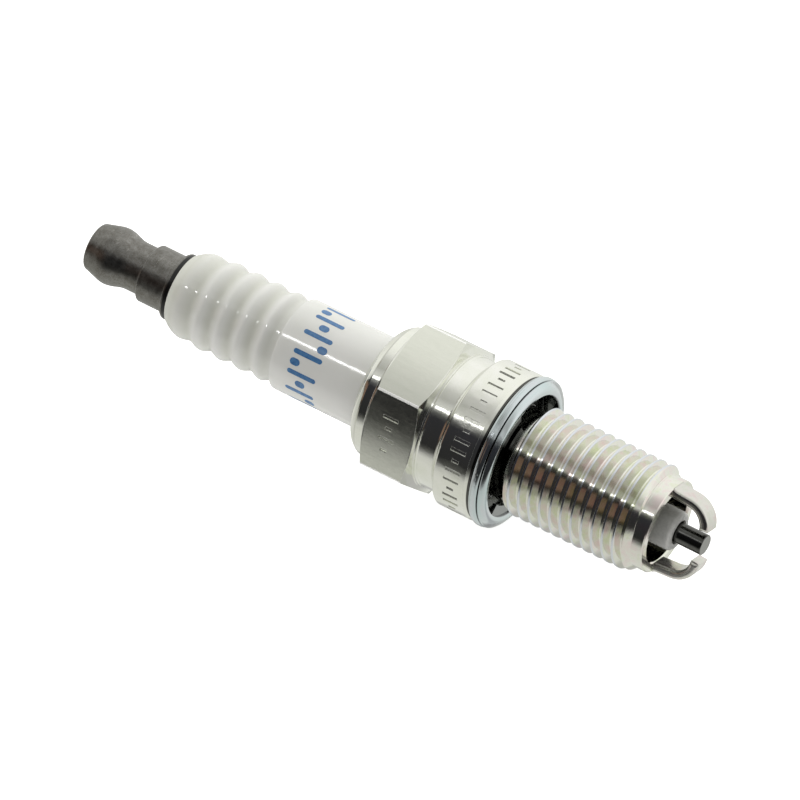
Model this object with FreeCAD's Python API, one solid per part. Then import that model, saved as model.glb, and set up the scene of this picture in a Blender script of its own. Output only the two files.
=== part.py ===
"""Motorcycle spark plug: M12 x 1.25 thread, 19 mm reach, 16 mm hexagon, two side electrodes.

Millimetres. The plug lies on a flat of its hexagon: +X runs along its axis to the firing end,
+Z is up, and the origin is on the axis in the plane of the gasket's sealing face.
Each physical piece is one solid, written to its own STEP file.
"""

import FreeCAD, Part
import math
import os

# ---- driving dimensions ------------------------------------------------------------------

# stations along the axis, from the terminal (negative) to the firing end (positive)
SEAT_X = -1.72                  # the shell's seat, behind the gasket
REACH = 19.0                    # seat to the end of the shell
SHELL_END_X = SEAT_X + REACH
TERMINAL_END_X = SEAT_X - 50.5  # standard terminal height above the seat
TIP_X = 21.76                   # end of the centre electrode

# thread
THREAD_PITCH = 1.25
THREAD_CREST_R = 5.93
THREAD_ROOT_R = 5.16
THREAD_ROOT_FLAT = 0.18
THREAD_FLANK = math.radians(30)
THREAD_START_X = 0.68           # foot of the chamfer where the thread begins
THREAD_END_X = 15.1             # start of the chamfer where it ends
THREAD_PHASE_X = 1.762          # a groove crosses the +Y side of the plug here
THREAD_SEAM = 37.0              # where one modelled turn meets the next, degrees about the axis
NECK_R = 5.08                   # relief between the seat and the thread
PILOT_R = 5.12                  # plain end of the shell

# hexagon, crimp and barrel of the shell
HEX_FLATS = 15.8                # a 16 mm socket fits over it
HEX_CORNER_R = HEX_FLATS / 2 / math.cos(math.radians(30))
HEX_EDGE_ROUND = 0.22
HEX_REAR_X = -14.08
HEX_FRONT_X = -9.25
COLLAR_R = 7.2
COLLAR_REAR_X = -15.04
CRIMP_REAR_X = -17.2
CRIMP_ROLL_R = 6.5              # the rolled lip passes through this radius halfway up
CRIMP_SHOULDER_X = -16.05
CRIMP_THICKNESS = 0.54
GROOVE_R = 7.3
GROOVE_REAR_X = -8.72
BARREL_R = 8.22
BARREL_REAR_X = -5.72

# bore of the shell
MOUTH_R = 4.0
BORE_R = 6.0
INNER_SEAT_X = -2.3             # front edge of the conical seat inside the shell
INNER_SEAT_SLOPE = math.tan(math.radians(30))
PACKING_THICKNESS = 0.45        # seat packing, measured along the axis

# insulator
BODY_R = 5.07
CRIMP_LIP_R = BODY_R + 0.08     # the shell's lip closes round the insulator
COLLAR_REAR_INSULATOR_X = -12.5
BODY_REAR_X = -26.6
RIB_PITCH = 2.43
RIB_COUNT = 4
RIB_CREST_R = 4.9
RIB_VALLEY_R = 4.5
FIRST_VALLEY_X = -38.1
INSULATOR_REAR_X = -41.35
INSULATOR_EDGE_R = 3.75
REAR_CREST_X = -39.35
REAR_CREST_R = 4.7
NOSE_ROOT_R = 3.85
NOSE_MIDDLE = (4.0, 2.95)
NOSE_TIP_X = 18.6
NOSE_R = 2.15
SHANK_BORE_R = 2.0
STEM_BORE_R = 1.17
STEM_SEAT_X = -6.2

# centre electrode and the column behind it
ELECTRODE_R = 1.12
ELECTRODE_HEAD_R = 1.75
ELECTRODE_HEAD_X = -7.6
CORE_R = 0.62
CORE_FRONT_X = 17.0
RESISTOR_FRONT_X = -11.0
RESISTOR_REAR_X = -17.5
UPPER_GLASS_REAR_X = -22.5

# terminal
TERMINAL_TIP_R = 2.3
TERMINAL_CROWN_X = TERMINAL_END_X + 2.6
TERMINAL_CROWN_R = 3.15
TERMINAL_NECK_X = TERMINAL_END_X + 5.0
TERMINAL_NECK_R = 2.65
TERMINAL_COLLAR_X = -45.42
TERMINAL_COLLAR_R = 3.16
FLANGE_R = 3.67
FLANGE_THICKNESS = 0.8
SHANK_R = 1.9
SHANK_TIP_R = 1.6
SHANK_TIP_X = -20.0

# packing rings and talc
RING_WIRE_R = 0.43
RING_R = (BODY_R + BORE_R) / 2
LOWER_RING_X = COLLAR_REAR_INSULATOR_X - RING_WIRE_R - 0.02
UPPER_RING_X = -15.9

# gasket
GASKET_REAR_X = -1.6
GASKET_R = 8.36
GASKET_FACE_R = 7.28
GASKET_HOLE_R = 6.78
GASKET_EDGE_ROUND = 0.15
SEAM_X = -0.54
SEAM_DEPTH = 0.42
TAB_COUNT = 3
TAB_SPAN = 34.0                 # degrees of the ring that one tab takes
TAB_TIP_R = 5.65
TAB_REAR_X = -0.68
TAB_FRONT_X = -0.22
FIRST_TAB_ANGLE = 102.0

# ground electrodes
STRAP_WIDTH = 2.4
STRAP_THICKNESS = 1.0
STRAP_EDGE_ROUND = 0.38
STRAP_ROOT_R = 4.38             # middle of the strap where it is welded on
STRAP_LEAN = 4.0                # degrees that the leg leans inwards
STRAP_LEG = 2.0
STRAP_BEND_R = 2.4
STRAP_END_TURN = 84.0           # direction of the end, degrees from +X towards the axis
STRAP_END_LENGTH = 0.25
STRAP_ANGLE = 58.7              # about the axis, from +Y towards +Z

# stamped marks: plain bars along the axis, no lettering
MARK_DEPTH = 0.14
MARK_WIDTH = 0.36
LONG_MARK = 1.8
SHORT_MARK = 0.8
BARREL_MARK_X = -3.75
BARREL_MARK_COUNT = 21
BARREL_MARK_START = 40.0        # degrees about the axis
BARREL_MARK_STEP = 8.0
HEX_MARK_X = -11.9
HEX_MARK_STEP = 1.25
HEX_MARK_ANGLE = 150.0

CLEARANCE = 0.02                # radial gap between pieces that only rest together
AXIS = FreeCAD.Vector(1, 0, 0)
CENTRE = FreeCAD.Vector(0, 0, 0)


# ---- drawing helpers ---------------------------------------------------------------------

def at(x, r):
    return FreeCAD.Vector(x, r, 0)


class Profile:
    """An outline in the half plane of x and radius, drawn step by step, then turned about X."""

    def __init__(self, x, r):
        self.first = at(x, r)
        self.last = self.first
        self.edges = []

    def line(self, x, r):
        end = at(x, r)
        self.edges.append(Part.LineSegment(self.last, end).toShape())
        self.last = end
        return self

    def arc(self, middle, end):
        middle, end = at(*middle), at(*end)
        self.edges.append(Part.Arc(self.last, middle, end).toShape())
        self.last = end
        return self

    def curve(self, points, start_slope, end_slope):
        """A smooth curve through the points, with the given dr/dx at its two ends."""
        curve = Part.BSplineCurve()
        curve.interpolate(Points=[self.last] + [at(*p) for p in points],
                          InitialTangent=at(1, start_slope), FinalTangent=at(1, end_slope))
        self.edges.append(curve.toShape())
        self.last = at(*points[-1])
        return self

    def face(self):
        if (self.last - self.first).Length > 1e-6:
            self.line(self.first.x, self.first.y)
        return Part.Face(Part.Wire(self.edges))

    def turned(self):
        return self.face().revolve(CENTRE, AXIS, 360)


def tube(x0, x1, outer_r, inner_r=0.0):
    """A cylinder, or a tube if it has an inner radius, from x0 to x1."""
    outer = Part.makeCylinder(outer_r, x1 - x0, at(x0, 0), AXIS)
    if not inner_r:
        return outer
    return outer.cut(Part.makeCylinder(inner_r, x1 - x0, at(x0, 0), AXIS))


def about_axis(shape, degrees):
    """A copy turned about the plug's axis, from +Y towards +Z."""
    copy = shape.copy()
    copy.rotate(CENTRE, AXIS, degrees)
    return copy


def mark(x, radius, length):
    """A shallow bar to cut into a surface at the given radius, on the +Y side."""
    corner = FreeCAD.Vector(x - length / 2, radius - MARK_DEPTH, -MARK_WIDTH / 2)
    return Part.makeBox(length, 1.0, MARK_WIDTH, corner)


def seat_x(radius):
    """The conical seat inside the shell: its x at a radius."""
    return INNER_SEAT_X - (radius - MOUTH_R) * INNER_SEAT_SLOPE


# ---- metal shell -------------------------------------------------------------------------

def hexagon():
    """The hexagon with rounded edges and turned chamfers on both of its ends."""
    rear, front = COLLAR_REAR_X - 0.5, GROOVE_REAR_X + 0.5
    corners = [FreeCAD.Vector(rear, HEX_CORNER_R * math.cos(a), HEX_CORNER_R * math.sin(a))
               for a in (math.radians(60 * k) for k in range(7))]
    prism = Part.Face(Part.makePolygon(corners)).extrude(FreeCAD.Vector(front - rear, 0, 0))
    long_edges = [e for e in prism.Edges if abs(e.Length - (front - rear)) < 1e-6]
    prism = prism.makeFillet(HEX_EDGE_ROUND, long_edges)
    envelope = (Profile(COLLAR_REAR_X, 0).line(COLLAR_REAR_X, COLLAR_R)
                .line(HEX_REAR_X, HEX_CORNER_R).line(HEX_FRONT_X, HEX_CORNER_R)
                .line(GROOVE_REAR_X, GROOVE_R + 0.2).line(GROOVE_REAR_X, 0))
    return prism.common(envelope.turned())


def shell_blank():
    """The turned outside of the shell, without its hexagon, bore and thread groove."""
    chamfer = THREAD_CREST_R - NECK_R
    return (Profile(CRIMP_REAR_X, 0)
            .line(CRIMP_REAR_X, CRIMP_LIP_R)
            .arc((CRIMP_REAR_X + 0.34, CRIMP_ROLL_R), (CRIMP_SHOULDER_X, COLLAR_R - 0.03))
            .line(CRIMP_SHOULDER_X + 0.15, COLLAR_R)
            .line(GROOVE_REAR_X, COLLAR_R)
            .line(GROOVE_REAR_X, GROOVE_R + 0.2)
            .line(GROOVE_REAR_X + 0.18, GROOVE_R + 0.2)
            .arc((GROOVE_REAR_X + 0.24, GROOVE_R + 0.06), (GROOVE_REAR_X + 0.38, GROOVE_R))
            .line(BARREL_REAR_X - 0.85, GROOVE_R)
            .arc((BARREL_REAR_X - 0.5, GROOVE_R + 0.13), (BARREL_REAR_X - 0.32, GROOVE_R + 0.5))
            .line(BARREL_REAR_X - 0.26, BARREL_R - 0.24)
            .arc((BARREL_REAR_X - 0.18, BARREL_R - 0.07), (BARREL_REAR_X, BARREL_R))
            .line(SEAT_X - 0.5, BARREL_R)
            .line(SEAT_X, BARREL_R - 0.3)
            .line(SEAT_X, NECK_R + 0.3)
            .arc((SEAT_X + 0.09, NECK_R + 0.09), (SEAT_X + 0.3, NECK_R))
            .line(THREAD_START_X, NECK_R)
            .line(THREAD_START_X + 0.45, THREAD_CREST_R)
            .line(THREAD_END_X, THREAD_CREST_R)
            .line(THREAD_END_X + chamfer, PILOT_R)
            .line(SHELL_END_X - 0.12, PILOT_R)
            .line(SHELL_END_X, PILOT_R - 0.12)
            .line(SHELL_END_X, 0)).turned()


def shell_bore():
    """Everything that is open inside the shell: crimp lip, main bore, conical seat, mouth."""
    lip_x = CRIMP_REAR_X + CRIMP_THICKNESS
    return (Profile(CRIMP_REAR_X - 1, 0)
            .line(CRIMP_REAR_X - 1, CRIMP_LIP_R)
            .line(lip_x, CRIMP_LIP_R)
            .arc((lip_x + 0.22, CRIMP_LIP_R + 0.51), (lip_x + 0.56, BORE_R))
            .line(seat_x(BORE_R), BORE_R)
            .line(INNER_SEAT_X, MOUTH_R)
            .line(SHELL_END_X - 0.2, MOUTH_R)
            .line(SHELL_END_X, MOUTH_R + 0.15)
            .line(SHELL_END_X + 1, MOUTH_R + 0.15)
            .line(SHELL_END_X + 1, 0)).turned()


def thread_turns():
    """The V groove of the right-hand thread, one turn at a time, from the neck to the plain end."""
    top_r = THREAD_CREST_R + 0.12
    half_root = THREAD_ROOT_FLAT / 2
    half_top = half_root + (top_r - THREAD_ROOT_R) * math.tan(THREAD_FLANK)
    corners = [(THREAD_ROOT_R, half_root), (top_r, half_top), (top_r, -half_top),
               (THREAD_ROOT_R, -half_root)]
    section = [FreeCAD.Vector(r, 0, z) for r, z in corners]
    helix = Part.Wire(Part.makeHelix(THREAD_PITCH, THREAD_PITCH, THREAD_ROOT_R))
    turn = helix.makePipeShell([Part.makePolygon(section + section[:1])], True, True)
    turn.rotate(CENTRE, FreeCAD.Vector(1, 1, 1), 120)       # the helix's own axis, Z, becomes X
    turn.rotate(CENTRE, AXIS, THREAD_SEAM)
    first_x = THREAD_PHASE_X + THREAD_PITCH * (THREAD_SEAM / 360 - 2)
    turns = []
    while first_x + THREAD_PITCH * len(turns) < SHELL_END_X - THREAD_PITCH:
        copy = turn.copy()
        copy.translate(FreeCAD.Vector(first_x + THREAD_PITCH * len(turns), 0, 0))
        turns.append(copy)
    return turns


def barrel_marks():
    """A row of long and short bars stamped round the barrel."""
    bars = []
    for k in range(BARREL_MARK_COUNT):
        length = SHORT_MARK if k % 3 == 1 else LONG_MARK
        bar = mark(BARREL_MARK_X, BARREL_R, length)
        bars.append(about_axis(bar, BARREL_MARK_START + BARREL_MARK_STEP * k))
    return bars


def hexagon_marks():
    """Four short stamped bars on one flat of the hexagon."""
    lengths = (LONG_MARK, SHORT_MARK, LONG_MARK, SHORT_MARK)
    bars = []
    for k, length in enumerate(lengths):
        bar = mark(HEX_MARK_X, HEX_FLATS / 2, length)
        bar.translate(FreeCAD.Vector(0, 0, HEX_MARK_STEP * (k - (len(lengths) - 1) / 2)))
        bars.append(about_axis(bar, HEX_MARK_ANGLE))
    return bars


def metal_shell():
    shell = shell_blank()
    for turn in thread_turns():
        shell = shell.cut(turn)
    shell = shell.fuse(hexagon()).removeSplitter()
    return shell.cut([shell_bore()] + barrel_marks() + hexagon_marks())


# ---- ground electrodes -------------------------------------------------------------------

def strap_outline():
    """Side view of one strap in the plane of x and radius: a leg, a bend and a short end."""
    lean, turn = math.radians(STRAP_LEAN), math.radians(STRAP_END_TURN)
    half = STRAP_THICKNESS / 2
    along = FreeCAD.Vector(math.cos(lean), -math.sin(lean), 0)

    def outward(angle):
        return FreeCAD.Vector(math.sin(angle), math.cos(angle), 0)

    root = at(SHELL_END_X, STRAP_ROOT_R)
    bend_centre = root + along * STRAP_LEG - outward(lean) * STRAP_BEND_R
    end_along = FreeCAD.Vector(math.cos(turn), -math.sin(turn), 0) * STRAP_END_LENGTH

    def bend(radius, angle):
        return bend_centre + outward(angle) * radius

    outer, inner = STRAP_BEND_R + half, STRAP_BEND_R - half
    weld_x, weld_foot = SHELL_END_X + 0.45, 0.16
    weld_drop = (weld_x - SHELL_END_X) * math.tan(lean)
    middle = (lean + turn) / 2
    outer_foot = at(weld_x, STRAP_ROOT_R + half - weld_drop)
    outer_end, inner_end = bend(outer, turn) + end_along, bend(inner, turn) + end_along * 0.86
    outline = Profile(SHELL_END_X, STRAP_ROOT_R + half + weld_foot)
    outline.arc((SHELL_END_X + 0.2, STRAP_ROOT_R + half + 0.03), (outer_foot.x, outer_foot.y))
    outline.line(*bend(outer, lean)[:2])
    outline.arc(bend(outer, middle)[:2], bend(outer, turn)[:2])
    outline.line(*outer_end[:2])
    outline.line(*inner_end[:2])
    outline.line(*bend(inner, turn)[:2])
    outline.arc(bend(inner, middle)[:2], bend(inner, lean)[:2])
    outline.line(SHELL_END_X, STRAP_ROOT_R - half)
    return outline


def is_long_strap_edge(edge):
    """Whether the edge runs along the strap, on one of its two sides, clear of the weld."""
    box = edge.BoundBox
    return box.ZLength < 1e-6 and box.XMin > SHELL_END_X + 0.01


def ground_electrode(degrees):
    strap = strap_outline().face().extrude(FreeCAD.Vector(0, 0, STRAP_WIDTH))
    strap.translate(FreeCAD.Vector(0, 0, -STRAP_WIDTH / 2))
    rounded = [e for e in strap.Edges if is_long_strap_edge(e)]
    strap = strap.makeFillet(STRAP_EDGE_ROUND, rounded)
    return about_axis(strap, degrees)


# ---- insulator ---------------------------------------------------------------------------

def insulator_outside():
    """From the rear edge over the shoulder and the ribs to the collar, then the nose."""
    shoulder = [(INSULATOR_REAR_X + 0.85, REAR_CREST_R - 0.3), (REAR_CREST_X, REAR_CREST_R),
                (FIRST_VALLEY_X, RIB_VALLEY_R)]
    ribs = []
    for k in range(RIB_COUNT):
        valley = FIRST_VALLEY_X + k * RIB_PITCH
        ribs += [(valley + RIB_PITCH / 2, RIB_CREST_R), (valley + RIB_PITCH, RIB_VALLEY_R)]
    collar_r = BORE_R - 0.05
    return (Profile(INSULATOR_REAR_X, 0)
            .line(INSULATOR_REAR_X, INSULATOR_EDGE_R)
            .arc((INSULATOR_REAR_X + 0.06, INSULATOR_EDGE_R + 0.13),
                 (INSULATOR_REAR_X + 0.2, INSULATOR_EDGE_R + 0.23))
            .curve(shoulder + ribs + [(BODY_REAR_X - 0.8, BODY_R - 0.21), (BODY_REAR_X, BODY_R)], 0.85, 0)
            .line(COLLAR_REAR_INSULATOR_X, BODY_R)
            .line(COLLAR_REAR_INSULATOR_X, collar_r)
            .line(seat_x(collar_r) - PACKING_THICKNESS, collar_r)
            .line(seat_x(NOSE_ROOT_R) - PACKING_THICKNESS, NOSE_ROOT_R)
            .curve([(-1.2, NOSE_ROOT_R - 0.4), NOSE_MIDDLE], -0.6, -0.09)
            .line(SHELL_END_X - 4, NOSE_R + 0.05)
            .line(NOSE_TIP_X - 0.45, NOSE_R)
            .arc((NOSE_TIP_X - 0.13, NOSE_R - 0.12), (NOSE_TIP_X, NOSE_R - 0.42))
            .line(NOSE_TIP_X, 0)).turned()


def insulator():
    """The ceramic body, bored for the terminal, the sealed column and the electrode stem."""
    bore = (Profile(INSULATOR_REAR_X - 1, 0)
            .line(INSULATOR_REAR_X - 1, SHANK_BORE_R)
            .line(STEM_SEAT_X - 0.45, SHANK_BORE_R)
            .line(STEM_SEAT_X, STEM_BORE_R)
            .line(NOSE_TIP_X - 0.9, STEM_BORE_R)
            .line(NOSE_TIP_X - 0.6, STEM_BORE_R + 0.18)
            .line(NOSE_TIP_X + 1, STEM_BORE_R + 0.18)
            .line(NOSE_TIP_X + 1, 0)).turned()
    return insulator_outside().cut(bore)


# ---- sealing pieces between the insulator and the shell ----------------------------------

def seat_packing():
    """A thin coned washer on which the insulator's shoulder rests in the shell."""
    inner_r, outer_r = MOUTH_R + 0.25, BORE_R - 0.2
    return (Profile(seat_x(inner_r), inner_r)
            .line(seat_x(outer_r), outer_r)
            .line(seat_x(outer_r) - PACKING_THICKNESS, outer_r)
            .line(seat_x(inner_r) - PACKING_THICKNESS, inner_r)).turned()


def packing_ring(x):
    return Part.makeTorus(RING_R, RING_WIRE_R, at(x, 0), AXIS)


def talc_filling():
    rear_x, front_x = UPPER_RING_X + RING_WIRE_R, LOWER_RING_X - RING_WIRE_R
    return tube(rear_x, front_x, BORE_R - CLEARANCE, BODY_R + CLEARANCE)


# ---- centre column -----------------------------------------------------------------------

def centre_electrode():
    """The nickel sheath: a head seated in the insulator, a long stem, a hole for the core."""
    blank = (Profile(ELECTRODE_HEAD_X, 0)
             .line(ELECTRODE_HEAD_X, ELECTRODE_HEAD_R - 0.25)
             .line(ELECTRODE_HEAD_X + 0.25, ELECTRODE_HEAD_R)
             .line(STEM_SEAT_X - 0.35, ELECTRODE_HEAD_R)
             .line(STEM_SEAT_X, ELECTRODE_R)
             .line(TIP_X - 0.06, ELECTRODE_R)
             .line(TIP_X, ELECTRODE_R - 0.06)
             .line(TIP_X, 0)).turned()
    return blank.cut(tube(ELECTRODE_HEAD_X - 1, CORE_FRONT_X, CORE_R))


def centre_electrode_core():
    return tube(ELECTRODE_HEAD_X, CORE_FRONT_X, CORE_R)


def lower_glass_seal():
    """Conductive glass round the electrode's head, up to the resistor."""
    front_x = STEM_SEAT_X - 0.5
    glass = tube(RESISTOR_FRONT_X, front_x, SHANK_BORE_R)
    head = (Profile(ELECTRODE_HEAD_X, 0)
            .line(ELECTRODE_HEAD_X, ELECTRODE_HEAD_R - 0.25)
            .line(ELECTRODE_HEAD_X + 0.25, ELECTRODE_HEAD_R)
            .line(front_x, ELECTRODE_HEAD_R)
            .line(front_x, 0)).turned()
    return glass.cut(head)


def resistor():
    return tube(RESISTOR_REAR_X, RESISTOR_FRONT_X, SHANK_BORE_R)


def upper_glass_seal():
    """Conductive glass round the terminal's tip, down to the resistor."""
    glass = tube(UPPER_GLASS_REAR_X, RESISTOR_REAR_X, SHANK_BORE_R)
    return glass.cut(tube(UPPER_GLASS_REAR_X - 1, SHANK_TIP_X, SHANK_TIP_R))


def terminal_stud():
    """Solid terminal: a waisted head, a collar, a flange on the insulator, a shank."""
    end_x, crown_x, collar_x = TERMINAL_END_X, TERMINAL_CROWN_X, TERMINAL_COLLAR_X
    flange_x = INSULATOR_REAR_X - FLANGE_THICKNESS
    return (Profile(end_x, 0)
            .line(end_x, TERMINAL_TIP_R)
            .arc((end_x + 0.09, TERMINAL_TIP_R + 0.21), (end_x + 0.3, TERMINAL_TIP_R + 0.32))
            .line(crown_x - 0.7, TERMINAL_CROWN_R - 0.08)
            .arc((crown_x, TERMINAL_CROWN_R), (crown_x + 0.7, TERMINAL_CROWN_R - 0.1))
            .curve([(crown_x + 1.4, TERMINAL_NECK_R + 0.19), (TERMINAL_NECK_X, TERMINAL_NECK_R)], -0.22, 0)
            .line(collar_x - 0.2, TERMINAL_NECK_R)
            .arc((collar_x - 0.11, TERMINAL_NECK_R + 0.04), (collar_x - 0.06, TERMINAL_NECK_R + 0.13))
            .line(collar_x, TERMINAL_COLLAR_R - 0.12)
            .line(collar_x + 0.12, TERMINAL_COLLAR_R)
            .line(flange_x, TERMINAL_COLLAR_R)
            .line(flange_x, FLANGE_R - 0.15)
            .arc((flange_x + 0.05, FLANGE_R - 0.05), (flange_x + 0.15, FLANGE_R))
            .line(INSULATOR_REAR_X - 0.12, FLANGE_R)
            .line(INSULATOR_REAR_X, FLANGE_R - 0.12)
            .line(INSULATOR_REAR_X, SHANK_R)
            .line(UPPER_GLASS_REAR_X - 0.5, SHANK_R)
            .line(UPPER_GLASS_REAR_X - 0.2, SHANK_TIP_R)
            .line(SHANK_TIP_X, SHANK_TIP_R)
            .line(SHANK_TIP_X, 0)).turned()


# ---- gasket ------------------------------------------------------------------------------

def gasket():
    """A folded steel ring with a seam round its rim and tabs that keep it on the neck."""
    rear_x, edge, edge_r = GASKET_REAR_X, GASKET_EDGE_ROUND, GASKET_HOLE_R + GASKET_EDGE_ROUND
    front_roll_r = GASKET_R - 0.12
    ring = (Profile(rear_x, edge_r)
            .line(rear_x, GASKET_R - 0.45)
            .arc((rear_x + 0.12, GASKET_R - 0.12), ((rear_x + SEAM_X) / 2, GASKET_R))
            .arc((SEAM_X - 0.16, GASKET_R - 0.09), (SEAM_X, GASKET_R - SEAM_DEPTH))
            .arc((SEAM_X + 0.03, front_roll_r - 0.08), (SEAM_X + 0.1, front_roll_r))
            .arc((-0.15, GASKET_R - 0.5), (0, GASKET_FACE_R))
            .line(0, edge_r)
            .arc((-0.3 * edge, GASKET_HOLE_R + 0.3 * edge), (-edge, GASKET_HOLE_R))
            .line(rear_x + edge, GASKET_HOLE_R)
            .arc((rear_x + 0.3 * edge, GASKET_HOLE_R + 0.3 * edge), (rear_x, edge_r))).turned()
    root_r = GASKET_HOLE_R + 0.3
    tab = (Profile(TAB_REAR_X, TAB_TIP_R).line(TAB_REAR_X, root_r).line(TAB_FRONT_X, root_r)
           .line(TAB_FRONT_X, TAB_TIP_R)).face().revolve(CENTRE, AXIS, TAB_SPAN)
    first, step = FIRST_TAB_ANGLE - TAB_SPAN / 2, 360 / TAB_COUNT
    return ring.fuse([about_axis(tab, first + k * step) for k in range(TAB_COUNT)]).removeSplitter()


# ---- all the pieces ----------------------------------------------------------------------

PIECES = {
    "metal_shell": metal_shell(),
    "ground_electrode_a": ground_electrode(STRAP_ANGLE),
    "ground_electrode_b": ground_electrode(STRAP_ANGLE + 180),
    "insulator": insulator(),
    "seat_packing": seat_packing(),
    "packing_ring_lower": packing_ring(LOWER_RING_X),
    "packing_ring_upper": packing_ring(UPPER_RING_X),
    "talc_filling": talc_filling(),
    "centre_electrode": centre_electrode(),
    "centre_electrode_core": centre_electrode_core(),
    "lower_glass_seal": lower_glass_seal(),
    "resistor": resistor(),
    "upper_glass_seal": upper_glass_seal(),
    "terminal_stud": terminal_stud(),
    "gasket": gasket(),
}

os.makedirs("parts", exist_ok=True)
for name, shape in PIECES.items():
    solids = shape.Solids
    print(f"{name}: {len(solids)} solid, valid {shape.isValid()}, {shape.Volume:.2f} mm3")
    piece = solids[0] if len(solids) == 1 else shape
    piece.exportStep(f"parts/{name}.step")
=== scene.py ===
"""Looks of the motorcycle spark plug: procedural finishes, printed marks, studio and camera."""

import math

import bmesh
import bpy
from mathutils import Matrix, Vector


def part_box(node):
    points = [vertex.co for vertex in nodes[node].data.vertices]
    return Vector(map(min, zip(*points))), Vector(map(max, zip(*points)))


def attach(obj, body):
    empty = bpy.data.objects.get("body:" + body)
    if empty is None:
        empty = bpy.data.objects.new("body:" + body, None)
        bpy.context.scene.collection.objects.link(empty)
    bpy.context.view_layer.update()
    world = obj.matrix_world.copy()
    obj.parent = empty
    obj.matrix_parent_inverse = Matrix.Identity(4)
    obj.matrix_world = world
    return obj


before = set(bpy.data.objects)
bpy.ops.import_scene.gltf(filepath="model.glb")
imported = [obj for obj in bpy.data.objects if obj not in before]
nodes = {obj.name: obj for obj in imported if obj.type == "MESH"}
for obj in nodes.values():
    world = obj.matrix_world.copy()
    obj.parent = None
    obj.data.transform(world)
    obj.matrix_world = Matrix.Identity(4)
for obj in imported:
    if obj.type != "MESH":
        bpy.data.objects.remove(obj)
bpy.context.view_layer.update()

MM = 0.001
AXIS_X = Vector((1, 0, 0))

# places along the plug's axis, in millimetres from the gasket's sealing face
INSULATOR_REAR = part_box("insulator")[0].x / MM
RIBS_FRONT = -27.0              # the ribs lie behind this place
HEX_REAR = -14.5
HEX_FRONT = -9.0
# painted shade: the shell's face in the gap between its barrel and the gasket is painted near-black
GAP_REAR = -1.9                 # dark gap between the shell's barrel and the gasket
GAP_FRONT = -1.52
CAVITY_REAR = -1.8              # shaded groove between the gasket and the thread
CAVITY_FRONT = 0.35
# the fold carries a painted shade
SEAM = -0.52                    # fold between the gasket's two rolls
THREAD_START = 0.4
NOSE_START = 10.0               # from here the insulator is unglazed
ELECTRODE_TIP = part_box("centre_electrode")[1].x / MM

# radii from the plug's axis, in millimetres
RIB_VALLEY_R = 4.5
RIB_CREST_R = 4.9
BARREL_R = 5.07                 # smooth barrel of the insulator
CREST_R = 5.93                  # top of the thread
CAVITY_R = 6.9
ROLL_INNER_R = 7.0              # from here outwards the gasket's front roll looks rounded
GAP_R = 7.8                     # the gap looks dark only outside this radius
SEAM_R = 8.18
# the pale painted highlight on the hexagon's corners lies out here
HEX_EDGE_R = 9.04               # only the rounded corners of the hexagon reach out this far

# the blue print on the insulator's barrel: plain bars and blocks
PRINT_X = -24.0
PRINT_HEIGHT = 3.4
PRINT_STROKE = 0.52
PRINT_THICKNESS = 0.008
PRINT_START = 48.0              # degrees about the axis, from +Y towards +Z
PRINT_STEP = 25.5
PRINT_CELLS = 7
BAR_COLUMNS = 10                # strips across one bar
BLOCK_HEIGHT = 0.34             # of a block, in heights of a bar
BLOCK_WIDTH = 1.5               # of a block, in widths of a bar

NOISE_LOW, NOISE_HIGH = 0.3, 0.7    # nearly all of a noise lies between these
BEVEL_SAMPLES = 4
EDGE_MATCH = 0.93               # cosine between the plain and the softened direction on an edge
FLAT_MATCH = 0.995              # the same where the surface counts as flat

# colours of the painted highlights and painted shade, of the stains and scuffs, and of the crests' tint
PAINTED_EDGE_HIGHLIGHT = (0.93, 0.93, 0.91)
CREST_TINT = (0.72, 0.745, 0.785)
SHADED_NECK = (0.24, 0.24, 0.225)
SHADED_HOLE = (0.25, 0.26, 0.26)
BARREL_GAP_SHADE = (0.08, 0.08, 0.075)
GASKET_PAINTED_SHADE = (0.04, 0.05, 0.05)
PAINTED_VALLEY_SHADE = (0.56, 0.565, 0.51)
SCUFFED_STEEL = (0.56, 0.55, 0.52)
STAINED_STEEL = (0.13, 0.11, 0.09)
EDGE_HIGHLIGHT_STEEL = (0.62, 0.62, 0.60)
SHADED_FLANGE = (0.05, 0.05, 0.05)
PAINTED_TIP_HIGHLIGHT = (0.26, 0.26, 0.25)


# ---- materials ---------------------------------------------------------------------------

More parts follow.
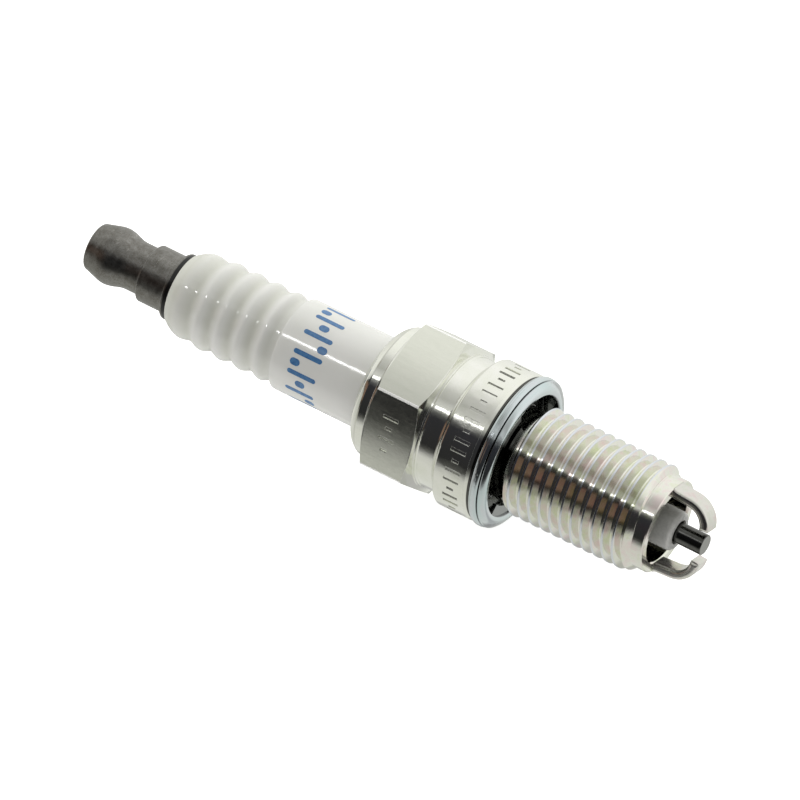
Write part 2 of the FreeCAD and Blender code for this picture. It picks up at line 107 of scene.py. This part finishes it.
class Nodes:
    """Short calls that make nodes in one tree and hand back their outputs."""

    def __init__(self, tree):
        self.tree = tree

    def fill(self, socket, value):
        """Sets a socket to a value, or links an output to it."""
        if isinstance(value, bpy.types.NodeSocket):
            self.tree.links.new(value, socket)
        elif socket.type == "RGBA":
            socket.default_value = (*value[:3], 1)
        else:
            socket.default_value = value

    def node(self, kind, inputs=(), **properties):
        """Makes a node; its inputs are given in order, or by index or name."""
        made = self.tree.nodes.new("ShaderNode" + kind)
        for name, value in properties.items():
            setattr(made, name, value)
        pairs = inputs.items() if isinstance(inputs, dict) else enumerate(inputs)
        for key, value in pairs:
            self.fill(made.inputs[key], value)
        return made

    def vector(self, operation, a, b=None, scale=None):
        inputs = {0: a}
        if b is not None:
            inputs[1] = b
        if scale is not None:
            inputs["Scale"] = scale
        return self.node("VectorMath", inputs, operation=operation).outputs["Vector"]

    def part(self, vector, letter):
        return self.node("SeparateXYZ", (vector,)).outputs[letter]

    def sum(self, a, b):
        return self.node("Math", (a, b), operation="ADD").outputs[0]

    def times(self, a, b):
        return self.node("Math", (a, b), operation="MULTIPLY").outputs[0]

    def ranged(self, value, low, high, to_low=0.0, to_high=1.0):
        """Carries low..high over to to_low..to_high and stops at both ends."""
        return self.node("MapRange", (value, low, high, to_low, to_high), clamp=True).outputs[0]

    def above(self, value, place, soft):
        """0 below a place, 1 above it, with a soft edge."""
        return self.ranged(value, place - soft, place + soft)

    def below(self, value, place, soft):
        """1 below a place, 0 above it, with a soft edge."""
        return self.ranged(value, place - soft, place + soft, 1.0, 0.0)

    def within(self, value, low, high, soft):
        """1 between low and high, 0 outside, with soft edges."""
        return self.times(self.above(value, low, soft), self.below(value, high, soft))

    def noise(self, where, scale, detail=3.0, roughness=0.5):
        made = self.node("TexNoise", {"Vector": where, "Scale": scale, "Detail": detail,
                                      "Roughness": roughness})
        return made.outputs[0]

    def colours(self, factor, *stops):
        """A colour ramp; each stop is a place from 0 to 1 and a colour."""
        ramp = self.node("ValToRGB", (factor,))
        elements = ramp.color_ramp.elements
        while len(elements) < len(stops):
            elements.new(0.5)
        for element, (place, colour) in zip(elements, stops):
            element.position = place
            element.color = (*colour, 1)
        return ramp.outputs[0]

    def mottled(self, noise, dark, light):
        """A colour that follows a noise from dark to light."""
        return self.colours(noise, (NOISE_LOW, dark), (NOISE_HIGH, light))

    def graded(self, noise, low, high):
        """A number that follows a noise from low to high."""
        return self.ranged(noise, NOISE_LOW, NOISE_HIGH, low, high)

    def mixed(self, factor, a, b):
        """a where the factor is 0, b where it is 1, for colours."""
        made = self.node("Mix", {"Factor": factor}, data_type="RGBA")
        self.fill(made.inputs[6], a)
        self.fill(made.inputs[7], b)
        return made.outputs[2]

    def between(self, factor, a, b):
        """a where the factor is 0, b where it is 1, for numbers."""
        return self.node("Mix", {0: factor, 2: a, 3: b}, data_type="FLOAT").outputs[0]

    def arched(self, offset):
        """1 where the offset is 0, falling in a curve to 0 where it is 1 or -1."""
        return self.node("Math", (1.0, self.times(offset, offset)), operation="SUBTRACT").outputs[0]


class Paint(Nodes):
    """A node material round one Principled shader. Its places are in millimetres."""

    def __init__(self, name, **sockets):
        self.material = bpy.data.materials.new(name)
        self.material.use_nodes = True
        super().__init__(self.material.node_tree)
        self.shader = self.tree.nodes["Principled BSDF"]
        for socket, value in sockets.items():
            self.put(socket.replace("_", " "), value)
        place = self.node("TexCoord").outputs["Object"]
        self.place = self.vector("SCALE", place, scale=1 / MM)
        self.x = self.part(self.place, "X")
        across = self.vector("MULTIPLY", self.place, (0, 1, 1))
        self.radius = self.node("VectorMath", (across,), operation="LENGTH").outputs["Value"]
        self.round = self.vector("NORMALIZE", across)

    def put(self, socket, value):
        """Sets a socket of the shader to a value, or links an output to it."""
        self.fill(self.shader.inputs[socket], value)

    def turned(self, fine, around=0.3):
        """Places stretched round the axis, for the fine rings that a lathe leaves."""
        across = self.node("CombineXYZ", (self.x, self.radius, 0.0)).outputs[0]
        rings = self.vector("SCALE", across, scale=fine)
        return self.vector("ADD", rings, self.vector("SCALE", self.round, scale=around))

    def drawn(self, fine, along=0.15):
        """Places stretched along the axis, for the lines of a drawn bar."""
        return self.vector("MULTIPLY", self.place, (along, fine, fine))

    def crowned(self, sides):
        """1 along the middle of each side of a prism round the axis, falling to 0 at its corners."""
        places = self.part(self.place, "Z"), self.part(self.place, "Y")
        turn = self.node("Math", places, operation="ARCTAN2").outputs[0]
        step = 2 * math.pi / sides
        across = self.node("Math", (turn, step), operation="FLOORED_MODULO").outputs[0]
        return self.arched(self.ranged(across, 0.0, step, -1.0, 1.0))

    def softened(self, radius):
        """The surface's direction with its edges rounded to a radius in mm."""
        made = self.node("Bevel", {"Radius": radius * MM})
        made.samples = BEVEL_SAMPLES
        return made.outputs[0]

    def edges(self, soft_normal):
        """1 on sharp edges, 0 elsewhere."""
        plain = self.node("NewGeometry").outputs["Normal"]
        match = self.node("VectorMath", (soft_normal, plain), operation="DOT_PRODUCT").outputs["Value"]
        return self.ranged(match, EDGE_MATCH, FLAT_MATCH, 1.0, 0.0)

    def relief(self, *layers, over=None):
        """Bumps one over another.

        Each layer is a height from 0 to 1, its depth in mm and, if not everywhere, where it shows.
        """
        normal = over
        for height, depth, *shown in layers:
            strength = shown[0] if shown else 1.0
            inputs = {"Height": height, "Distance": depth * MM, "Strength": strength}
            if normal is not None:
                inputs["Normal"] = normal
            normal = self.node("Bump", inputs).outputs[0]
        self.put("Normal", normal)

    def onto(self, *names):
        """Puts the material on pieces of the CAD model."""
        for name in names:
            for slot in nodes[name].material_slots:
                slot.material = self.material


def shell_plating():
    """Bright plating: drawn lines on the hexagon, turned rings elsewhere, a tint on the thread.

    The flats are bowed a little; the edges and the hexagon's corners carry a pale painted
    highlight, and the places that hardly any light reaches get painted shade.
    """
    p = Paint("shell_plating")
    hexagon = p.within(p.x, HEX_REAR, HEX_FRONT, 0.05)
    thread = p.above(p.x, THREAD_START, 0.5)
    blotches = p.noise(p.place, 0.45, 4.0, 0.6)
    plain = p.mottled(blotches, (0.80, 0.815, 0.735), (0.87, 0.87, 0.83))
    tint = p.noise(p.place, 0.7, 4.0, 0.6)
    tinted = p.colours(tint, (0.34, (0.74, 0.77, 0.61)), (0.5, (0.80, 0.80, 0.735)),
                       (0.66, (0.81, 0.72, 0.70)))
    crests = p.ranged(p.radius, CREST_R - 0.12, CREST_R - 0.04)
    tinted = p.mixed(crests, tinted, CREST_TINT)
    streaks = p.noise(p.drawn(2.0), 1.0, 4.0, 0.55)
    flats = p.mottled(streaks, (0.74, 0.755, 0.68), (0.765, 0.775, 0.705))
    colour = p.mixed(thread, p.mixed(hexagon, plain, flats), tinted)

    soft = p.softened(0.05)
    # pale painted highlight on the hexagon's corners and on the edges away from the thread; the metal
    # gives way to a plain pale colour there
    corners = p.times(hexagon, p.above(p.radius, HEX_EDGE_R, 0.015))
    edges = p.times(p.edges(soft), p.ranged(thread, 0.0, 1.0, 0.6, 0.0))
    edges = p.times(edges, p.ranged(p.noise(p.place, 2.0, 3.0), 0.35, 0.55, 0.5, 1.0))
    edge_highlight = p.ranged(p.sum(edges, corners), 0.0, 1.0)
    colour = p.mixed(edge_highlight, colour, PAINTED_EDGE_HIGHLIGHT)
    p.put("Metallic", p.between(edge_highlight, 1.0, 0.0))

    cavity = p.times(p.within(p.x, CAVITY_REAR, CAVITY_FRONT, 0.1), p.below(p.radius, CAVITY_R, 0.2))
    # painted shade in the gap behind the barrel, where the seat meets the gasket
    gap = p.times(p.above(p.x, GAP_REAR, 0.03), p.ranged(p.radius, GAP_R, GAP_R + 0.15))
    colour = p.mixed(cavity, colour, SHADED_NECK)
    p.put("Base Color", p.mixed(gap, colour, BARREL_GAP_SHADE))

    rings = p.noise(p.turned(9.0), 1.0, 3.0, 0.7)
    lines = p.noise(p.drawn(6.0, 0.4), 1.0, 4.0, 0.6)
    smear = p.noise(p.place, 2.2, 4.0, 0.65)
    turned_rough = p.graded(p.noise(p.turned(3.0, 2.0), 1.0), 0.05, 0.13)
    drawn_rough = p.ranged(p.sum(lines, smear), 0.7, 1.3, 0.11, 0.22)
    p.put("Roughness", p.between(hexagon, turned_rough, drawn_rough))
    turned = p.ranged(hexagon, 0.0, 1.0, 1.0, 0.0)
    p.relief((p.crowned(6), 0.3, hexagon), (blotches, 0.015), (rings, 0.0025, turned),
             (lines, 0.0006, hexagon), over=soft)
    return p


def glazed_alumina():
    """White glaze over the ceramic, with painted shade in the valleys of the ribs, and a plain fired nose
    at the firing end painted grey as shade.
    """
    p = Paint("glazed_alumina", IOR=1.7, Subsurface_Weight=0.12, Subsurface_Scale=0.001,
              Subsurface_Radius=(1.0, 0.95, 0.85))
    clouds = p.noise(p.place, 0.25, 3.0)
    glaze = p.mottled(clouds, (0.655, 0.66, 0.625), (0.685, 0.685, 0.66))
    ribbed = p.ranged(p.x, RIBS_FRONT - 2.5, RIBS_FRONT, 1.0, 0.0)
    # painted shade in the valleys between the ribs
    valley_shade = p.times(p.ranged(p.radius, RIB_VALLEY_R, RIB_CREST_R - 0.05, 1.0, 0.0), ribbed)
    glaze = p.mixed(valley_shade, glaze, PAINTED_VALLEY_SHADE)
    # the unglazed nose is rough for real, but its grey colour is painted shade; the ceramic itself is
    # white
    fired = p.ranged(p.x, NOSE_START, NOSE_START + 0.5)
    shaded_nose = p.mottled(p.noise(p.place, 3.0, 4.0, 0.6), (0.40, 0.40, 0.385), (0.50, 0.50, 0.48))
    p.put("Base Color", p.mixed(fired, glaze, shaded_nose))
    smear = p.noise(p.place, 1.6, 4.0, 0.6)
    polish = p.between(ribbed, p.graded(smear, 0.09, 0.14), p.graded(smear, 0.05, 0.09))
    p.put("Roughness", p.between(fired, polish, 0.6))
    ripple = p.noise(p.place, 0.7, 2.0)
    grain = p.noise(p.place, 12.0, 3.0, 0.6)
    p.relief((ripple, 0.006), (p.times(grain, fired), 0.008))
    return p


def terminal_steel():
    """Dark oxidised steel, mottled brown and grey, with fine turning marks and a pale painted highlight
    along its edges.
    """
    p = Paint("terminal_steel", Metallic=1.0)
    mottle = p.noise(p.place, 1.5, 6.0, 0.65)
    fine = p.noise(p.place, 7.0, 4.0, 0.6)
    colour = p.colours(mottle, (0.30, (0.16, 0.156, 0.142)), (0.5, (0.235, 0.231, 0.218)),
                       (0.70, (0.32, 0.317, 0.303)))
    stained = p.mixed(p.ranged(fine, 0.48, 0.8), colour, STAINED_STEEL)
    scuffs = p.ranged(p.noise(p.drawn(0.8, 1.6), 1.0, 5.0, 0.75), 0.60, 0.72)
    scuffed = p.mixed(p.times(scuffs, 0.5), stained, SCUFFED_STEEL)
    soft = p.softened(0.1)
    # pale painted highlight along the edges
    edge_highlighted = p.mixed(p.times(p.edges(soft), 0.6), scuffed, EDGE_HIGHLIGHT_STEEL)
    flange = p.above(p.x, INSULATOR_REAR - 0.5, 0.05)
    p.put("Base Color", p.mixed(flange, edge_highlighted, SHADED_FLANGE))
    p.put("Roughness", p.graded(mottle, 0.28, 0.42))
    rings = p.noise(p.turned(8.0), 1.0, 3.0, 0.7)
    p.relief((mottle, 0.012), (rings, 0.004), over=soft)
    return p


def zinc_plating():
    """Bluish zinc on the folded gasket, with painted shade in its seam, its hole and the gap behind it.
    """
    p = Paint("zinc_plating", Metallic=1.0)
    clouds = p.noise(p.turned(1.2, 1.6), 1.0, 4.0)
    colour = p.colours(clouds, (0.3, (0.57, 0.68, 0.69)), (0.52, (0.64, 0.70, 0.72)),
                       (0.72, (0.66, 0.67, 0.72)))
    # painted shade in the hole, in the fold of the seam and on the face towards the gap
    inside = p.ranged(p.radius, CAVITY_R - 0.1, CAVITY_R, 1.0, 0.0)
    seam = p.times(p.within(p.x, SEAM - 0.1, SEAM + 0.1, 0.04),
                   p.ranged(p.radius, SEAM_R, SEAM_R + 0.1, 1.0, 0.0))
    colour = p.mixed(inside, colour, SHADED_HOLE)
    gap = p.below(p.x, GAP_FRONT, 0.03)
    dark = p.ranged(p.sum(seam, gap), 0.0, 1.0)
    p.put("Base Color", p.mixed(dark, colour, GASKET_PAINTED_SHADE))
    p.put("Roughness", p.graded(clouds, 0.08, 0.16))
    rings = p.noise(p.turned(7.0), 1.0, 3.0, 0.7)
    front = p.ranged(p.x, SEAM + 0.05, SEAM + 0.2)
    rolled = p.arched(p.ranged(p.radius, ROLL_INNER_R, SEAM_R))
    p.relief((rings, 0.004), (p.noise(p.place, 1.2, 2.0), 0.015), (rolled, 0.6, front),
             over=p.softened(0.06))
    return p


def electrode_alloy(name, metallic):
    """Rolled nickel alloy of the side electrodes; a less metallic copy stands in for light on a strap of
    the same alloy.
    """
    p = Paint(name, Metallic=metallic)
    clouds = p.noise(p.place, 1.1, 4.0, 0.6)
    p.put("Base Color", p.colours(clouds, (0.3, (0.66, 0.67, 0.60)), (0.5, (0.70, 0.69, 0.65)),
                                  (0.7, (0.70, 0.62, 0.60))))
    lines = p.noise(p.drawn(6.0, 0.8), 1.0, 3.0, 0.6)
    p.put("Roughness", p.graded(lines, 0.1, 0.22))
    p.relief((lines, 0.002), over=p.softened(0.08))
    return p


def centre_alloy():
    """Dark glossy nickel alloy of the centre electrode, with a painted highlight that makes its end face
    lighter.
    """
    p = Paint("centre_alloy", Metallic=1.0)
    clouds = p.noise(p.place, 1.5, 4.0, 0.6)
    stem = p.mottled(clouds, (0.085, 0.085, 0.08), (0.13, 0.13, 0.125))
    # painted highlight: the end face is painted lighter
    tip_highlight = p.ranged(p.x, ELECTRODE_TIP - 0.04, ELECTRODE_TIP)
    p.put("Base Color", p.mixed(tip_highlight, stem, PAINTED_TIP_HIGHLIGHT))
    rings = p.noise(p.turned(10.0), 1.0, 3.0, 0.7)
    p.put("Roughness", p.graded(rings, 0.1, 0.2))
    p.relief((rings, 0.003), over=p.softened(0.05))
    return p


def inner_finish(name, dark, light, metallic, roughness, scale):
    """A grained finish for a piece that is closed in by others."""
    p = Paint(name, Metallic=metallic)
    grain = p.noise(p.place, scale, 5.0, 0.65)
    p.put("Base Color", p.mottled(grain, dark, light))
    p.put("Roughness", p.graded(grain, roughness, roughness + 0.15))
    p.relief((grain, 0.01))
    return p


def blue_print():
    """Fired blue ink, a little uneven."""
    p = Paint("blue_print", IOR=1.6)
    patches = p.noise(p.place, 2.4, 4.0, 0.65)
    p.put("Base Color", p.mottled(patches, (0.05, 0.145, 0.33), (0.09, 0.22, 0.43)))
    p.put("Roughness", p.graded(patches, 0.12, 0.25))
    p.relief((patches, 0.004))
    return p


def paint_nodes():
    shell_plating().onto("metal_shell")
    glazed_alumina().onto("insulator")
    terminal_steel().onto("terminal_stud")
    zinc_plating().onto("gasket")
    electrode_alloy("electrode_alloy", 1.0).onto("ground_electrode_a")
    # the second strap gets a less metallic copy of the same alloy so that it shows lighter: a lit copy,
    # painted light
    electrode_alloy("electrode_alloy_lit_copy", 0.82).onto("ground_electrode_b")
    centre_alloy().onto("centre_electrode")
    steel = inner_finish("bare_steel", (0.30, 0.29, 0.27), (0.42, 0.41, 0.39), 1.0, 0.3, 3.0)
    steel.onto("seat_packing", "packing_ring_lower", "packing_ring_upper")
    inner_finish("talc", (0.78, 0.76, 0.70), (0.88, 0.87, 0.82), 0.0, 0.75, 8.0).onto("talc_filling")
    copper = inner_finish("copper", (0.72, 0.36, 0.22), (0.84, 0.46, 0.31), 1.0, 0.25, 4.0)
    copper.onto("centre_electrode_core")
    glass = inner_finish("conductive_glass", (0.06, 0.07, 0.06), (0.16, 0.16, 0.14), 0.0, 0.15, 6.0)
    glass.onto("lower_glass_seal", "upper_glass_seal")
    inner_finish("resistor_body", (0.05, 0.05, 0.05), (0.12, 0.12, 0.11), 0.0, 0.6, 10.0).onto("resistor")


# ---- print on the insulator --------------------------------------------------------------

def curved_bar(mesh, x, degrees, length, width):
    """A thin rounded bar wrapped on the barrel; its length runs along the axis."""
    corner = width / 2
    rims = []
    for k in range(BAR_COLUMNS + 1):
        across = width * (0.5 - 0.5 * math.cos(math.pi * k / BAR_COLUMNS))
        drop = corner - min(across, width - across)
        half = length / 2 - corner + math.sqrt(max(corner * corner - drop * drop, 0.0))
        turn = math.radians(degrees) + (across - width / 2) / BARREL_R
        out = Vector((0, math.cos(turn), math.sin(turn)))
        top, foot = out * (BARREL_R + PRINT_THICKNESS), out * (BARREL_R - PRINT_THICKNESS)
        ends = AXIS_X * (x - half), AXIS_X * (x + half)
        rims.append([mesh.verts.new((end + side) * MM) for side, end in
                     ((top, ends[0]), (top, ends[1]), (foot, ends[1]), (foot, ends[0]))])
    for a, b in zip(rims, rims[1:]):
        for i in range(4):
            mesh.faces.new((a[i], b[i], b[(i + 1) % 4], a[(i + 1) % 4]))
    mesh.faces.new(rims[0])
    mesh.faces.new(reversed(rims[-1]))


def printed_bars():
    """A row of tall bars, each followed by a short block at a changing height."""
    mesh = bmesh.new()
    block = PRINT_HEIGHT * BLOCK_HEIGHT
    for k in range(PRINT_CELLS):
        degrees = PRINT_START + PRINT_STEP * k
        rise = (k % 3 - 1) * (PRINT_HEIGHT - block) / 2
        curved_bar(mesh, PRINT_X, degrees, PRINT_HEIGHT, PRINT_STROKE)
        curved_bar(mesh, PRINT_X + rise, degrees + PRINT_STEP / 2, block, PRINT_STROKE * BLOCK_WIDTH)
    bmesh.ops.recalc_face_normals(mesh, faces=mesh.faces)
    data = bpy.data.meshes.new("printed_bars")
    mesh.to_mesh(data)
    mesh.free()
    data.materials.append(blue_print().material)
    piece = bpy.data.objects.new("printed_bars", data)
    bpy.context.scene.collection.objects.link(piece)
    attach(piece, "plug")


# ---- studio ------------------------------------------------------------------------------

# the camera looks down on the plug from the front, a little from its firing end;
# angles in degrees, lens and sensor in millimetres, everything else in metres
CAMERA_AZIMUTH = 38.44
CAMERA_ELEVATION = 55.7
CAMERA_ROLL = -7.08
CAMERA_DISTANCE = 1.6
CAMERA_LENS = 705.6
CAMERA_AIM = Vector((-14.79, -0.38, -0.20)) * MM
CAMERA_SENSOR = 36
CAMERA_CLIP = (0.05, 50)

FLOOR_SIZE = 10.0
FLOOR_DROP = 0.02 * MM          # below the gasket's lowest point

# each light: degrees about the axis from +Y towards +Z, the slope along it, the distance,
# the width and the length in metres, and the radiance
LIGHTS = {
    "window": (109.5, -0.37, 1.2, 0.085, 0.22, 1.9),
    "glint": (110.5, -0.38, 1.2, 0.085, 0.46, 11.0),
    "key": (32, -0.7, 0.9, 1.0, 1.0, 1.3),
    "ceiling": (86, -0.6, 1.1, 0.85, 1.0, 0.8),
    "fill": (150, 0.1, 1.0, 0.9, 1.4, 0.3),
}
UNREFLECTED = ("key", "ceiling", "fill")    # broad lights that glossy surfaces don't mirror


def make_camera():
    azimuth, elevation = math.radians(CAMERA_AZIMUTH), math.radians(CAMERA_ELEVATION)
    back = Vector((math.sin(azimuth) * math.cos(elevation),
                   -math.cos(azimuth) * math.cos(elevation), math.sin(elevation)))
    data = bpy.data.cameras.new("camera")
    data.lens = CAMERA_LENS
    data.sensor_width = CAMERA_SENSOR
    data.clip_start, data.clip_end = CAMERA_CLIP
    camera = bpy.data.objects.new("camera", data)
    camera.location = CAMERA_AIM + back * CAMERA_DISTANCE
    roll = Matrix.Rotation(math.radians(CAMERA_ROLL), 3, "Z")
    camera.rotation_mode = "QUATERNION"
    camera.rotation_quaternion = (back.to_track_quat("Z", "Y").to_matrix() @ roll).to_quaternion()
    bpy.context.scene.collection.objects.link(camera)
    bpy.context.scene.camera = camera


def softbox(name, degrees, slope, distance, width, length, radiance):
    """A rectangular light that faces the plug; its length runs along the plug's axis."""
    angle = math.radians(degrees)
    back = Vector((slope, math.cos(angle), math.sin(angle))).normalized()
    data = bpy.data.lights.new(name, "AREA")
    data.shape = "RECTANGLE"
    data.size, data.size_y = length, width
    data.energy = radiance * math.pi * width * length
    light = bpy.data.objects.new(name, data)
    side = (AXIS_X - back * AXIS_X.dot(back)).normalized()
    up = back.cross(side)
    facing = Matrix((side, up, back)).transposed().to_4x4()
    light.matrix_world = Matrix.Translation(back * distance) @ facing
    light.visible_camera = False
    bpy.context.scene.collection.objects.link(light)
    return light


def make_floor():
    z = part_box("gasket")[0].z - FLOOR_DROP
    corners = [(x * FLOOR_SIZE, y * FLOOR_SIZE, z) for x, y in ((-1, -1), (1, -1), (1, 1), (-1, 1))]
    mesh = bpy.data.meshes.new("floor")
    mesh.from_pydata(corners, [], [(0, 1, 2, 3)])
    floor = bpy.data.objects.new("floor", mesh)
    p = Paint("pale_floor", Base_Color=(0.85, 0.85, 0.85), Emission_Color=(1, 1, 1),
              Emission_Strength=0.82, Roughness=0.9)
    mesh.materials.append(p.material)
    floor.visible_glossy = False
    bpy.context.scene.collection.objects.link(floor)


# what surrounds the plug, so what its metal reflects: degrees about the axis from +Y towards +Z,
# and the colour in that direction
WORLD_ACROSS = (                # straight across the axis
    (-180, (0.08, 0.08, 0.075)),
    (-173, (0.30, 0.30, 0.29)),
    (-165, (0.62, 0.62, 0.59)),
    (-150, (0.70, 0.70, 0.66)),
    (-92, (0.74, 0.75, 0.71)),
    (-85, (0.50, 0.50, 0.49)),
    (-75, (0.50, 0.50, 0.49)),
    (-67, (0.78, 0.79, 0.75)),
    (0, (1.05, 1.05, 1.02)),
    (45, (1.03, 1.03, 1.0)),
    (60, (0.92, 0.92, 0.89)),
    (76, (0.60, 0.60, 0.58)),
    (92, (0.46, 0.46, 0.44)),
    (104, (0.66, 0.66, 0.64)),
    (112, (0.34, 0.34, 0.33)),
    (118, (0.10, 0.10, 0.10)),
    (125, (0.03, 0.03, 0.035)),
    (174, (0.025, 0.025, 0.025)),
    (180, (0.08, 0.08, 0.075)),
)
WORLD_BACK = (                  # towards the terminal, where the thread's grooves look
    (-180, (0.38, 0.37, 0.34)),
    (-160, (0.54, 0.54, 0.49)),
    (-60, (0.72, 0.73, 0.69)),
    (0, (0.80, 0.80, 0.76)),
    (45, (0.70, 0.70, 0.66)),
    (63, (0.60, 0.60, 0.57)),
    (73, (0.54, 0.54, 0.51)),
    (77, (0.36, 0.34, 0.31)),
    (89, (0.33, 0.31, 0.28)),
    (93, (0.46, 0.46, 0.44)),
    (106, (0.56, 0.56, 0.54)),
    (112, (0.10, 0.10, 0.10)),
    (121, (0.02, 0.02, 0.02)),
    (127, (0.16, 0.105, 0.08)),
    (152, (0.21, 0.14, 0.105)),
    (163, (0.03, 0.025, 0.02)),
    (171, (0.16, 0.15, 0.14)),
    (180, (0.38, 0.37, 0.34)),
)
WORLD_FAR_BACK = (              # nearly along the axis, where the crimp looks
    (-180, (0.50, 0.50, 0.47)),
    (-60, (0.80, 0.80, 0.76)),
    (30, (0.92, 0.92, 0.88)),
    (80, (0.80, 0.80, 0.77)),
    (104, (0.62, 0.62, 0.60)),
    (112, (0.06, 0.06, 0.06)),
    (124, (0.03, 0.03, 0.03)),
    (132, (0.20, 0.125, 0.09)),
    (156, (0.24, 0.155, 0.11)),
    (164, (0.05, 0.045, 0.04)),
    (172, (0.20, 0.19, 0.18)),
    (180, (0.50, 0.50, 0.47)),
)
# the slopes along the axis between which each set of bands takes over from the one before
WORLD_BLENDS = ((WORLD_BACK, (-0.43, -0.49)), (WORLD_FAR_BACK, (-0.66, -0.74)))


def make_world():
    """Bands of light round the plug's axis, blended from set to set towards the terminal."""
    world = bpy.data.worlds.new("studio")
    world.use_nodes = True
    n = Nodes(world.node_tree)
    direction = n.node("TexCoord").outputs["Generated"]
    upright = n.part(direction, "Z"), n.part(direction, "Y")
    angle = n.node("Math", upright, operation="ARCTAN2").outputs[0]
    turn = n.ranged(angle, -math.pi, math.pi)

    def banded(bands):
        return n.colours(turn, *[((degrees + 180) / 360, light) for degrees, light in bands])

    colour = banded(WORLD_ACROSS)
    for bands, slopes in WORLD_BLENDS:
        colour = n.mixed(n.ranged(n.part(direction, "X"), *slopes), colour, banded(bands))
    n.fill(n.tree.nodes["Background"].inputs[0], colour)
    bpy.context.scene.world = world


def make_studio():
    """The camera, the floor, the world and the lights; the glint is for the glaze alone."""
    make_camera()
    make_floor()
    make_world()
    glazed = bpy.data.collections.new("glazed")
    glazed.objects.link(nodes["insulator"])
    for name, values in LIGHTS.items():
        light = softbox(name, *values)
        light.visible_glossy = name not in UNREFLECTED
        if name == "glint":
            light.light_linking.receiver_collection = glazed
    bpy.context.scene.view_settings.view_transform = "Standard"


paint_nodes()
printed_bars()
make_studio()
